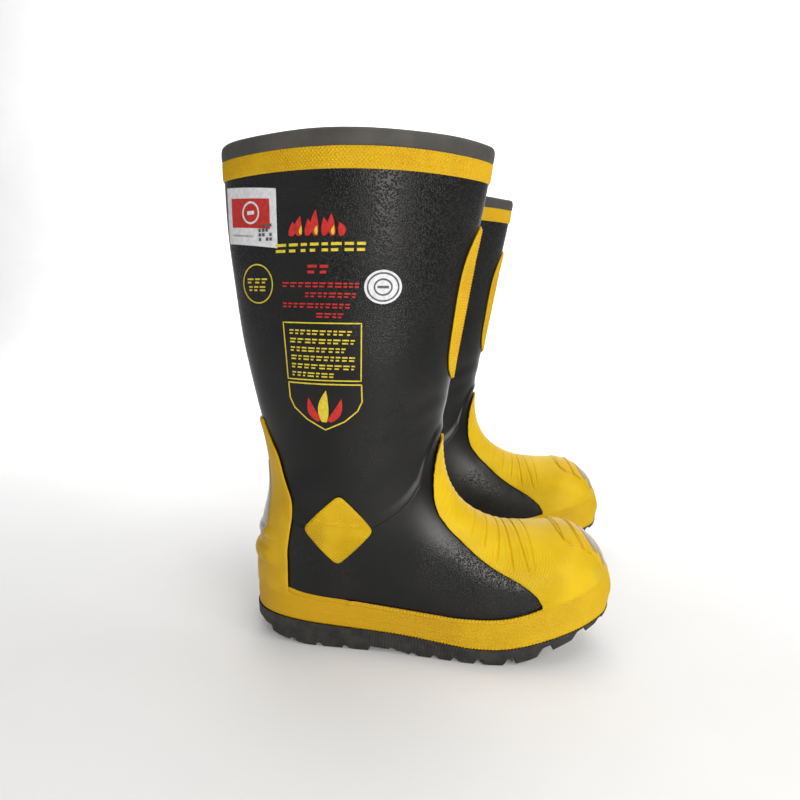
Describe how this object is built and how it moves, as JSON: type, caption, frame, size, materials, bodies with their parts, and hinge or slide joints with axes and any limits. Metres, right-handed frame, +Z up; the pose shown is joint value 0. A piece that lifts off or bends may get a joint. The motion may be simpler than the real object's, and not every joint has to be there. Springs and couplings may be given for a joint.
{
  "type": "fire boots",
  "caption": "Pair of knee-length rubber boots with cleated soles, steel toes, raised toe, heel and shin guards, reflective inserts and a bound collar.",
  "frame": {"origin": "centre of the pair's bounding box, on the ground", "axes": "+X from the heels to the toes, +Y from the right boot to the left boot, +Z up"},
  "size_m": [0.3652, 0.319, 0.354],
  "materials": {
    "black_rubber": "black moulded rubber with a fine pebbled grain and a soft gloss",
    "cuff_rubber": "smooth matt black rubber binding",
    "yellow_rubber": "yellow rubber, smooth on the toe and the heel and knurled on the bands",
    "sole_rubber": "dark grey moulded sole rubber, matt",
    "reflective_sheet": "silver-grey reflective sheet under a clear matt surface",
    "lining_cloth": "grey knitted lining",
    "steel": "pressed steel with a dull coating",
    "foam": "dark foam with a cloth face",
    "board": "brown fibre board"
  },
  "bodies": {
    "right_boot": {"right_foot_upper": "black_rubber", "right_leg_upper": "black_rubber", "right_lining": "lining_cloth", "right_vamp_guard": "yellow_rubber", "right_toe_plate": "yellow_rubber", "right_toe_reflector_front": "reflective_sheet", "right_toe_reflector_rear": "reflective_sheet", "right_shin_guard": "yellow_rubber", "right_ankle_patch_outer": "yellow_rubber", "right_ankle_patch_inner": "yellow_rubber", "right_heel_counter": "yellow_rubber", "right_heel_reflector": "reflective_sheet", "right_foxing": "yellow_rubber", "right_collar_band": "yellow_rubber", "right_top_cuff": "cuff_rubber", "right_toe_cap_steel": "steel", "right_toe_cap_cushion": "foam", "right_puncture_plate": "steel", "right_insole_board": "board", "right_footbed": "foam", "right_outsole": "sole_rubber", "right_heel_block": "sole_rubber"},
    "left_boot": {"left_foot_upper": "black_rubber", "left_leg_upper": "black_rubber", "left_lining": "lining_cloth", "left_vamp_guard": "yellow_rubber", "left_toe_plate": "yellow_rubber", "left_toe_reflector_front": "reflective_sheet", "left_toe_reflector_rear": "reflective_sheet", "left_shin_guard": "yellow_rubber", "left_ankle_patch_outer": "yellow_rubber", "left_ankle_patch_inner": "yellow_rubber", "left_heel_counter": "yellow_rubber", "left_heel_reflector": "reflective_sheet", "left_foxing": "yellow_rubber", "left_collar_band": "yellow_rubber", "left_top_cuff": "cuff_rubber", "left_toe_cap_steel": "steel", "left_toe_cap_cushion": "foam", "left_puncture_plate": "steel", "left_insole_board": "board", "left_footbed": "foam", "left_outsole": "sole_rubber", "left_heel_block": "sole_rubber"}
  },
  "joints": [
    {"name": "left_boot_lift", "type": "slide", "parent": "right_boot", "child": "left_boot", "axis": [0, 0, 1], "range_m": [0, 0.4]}
  ]
}
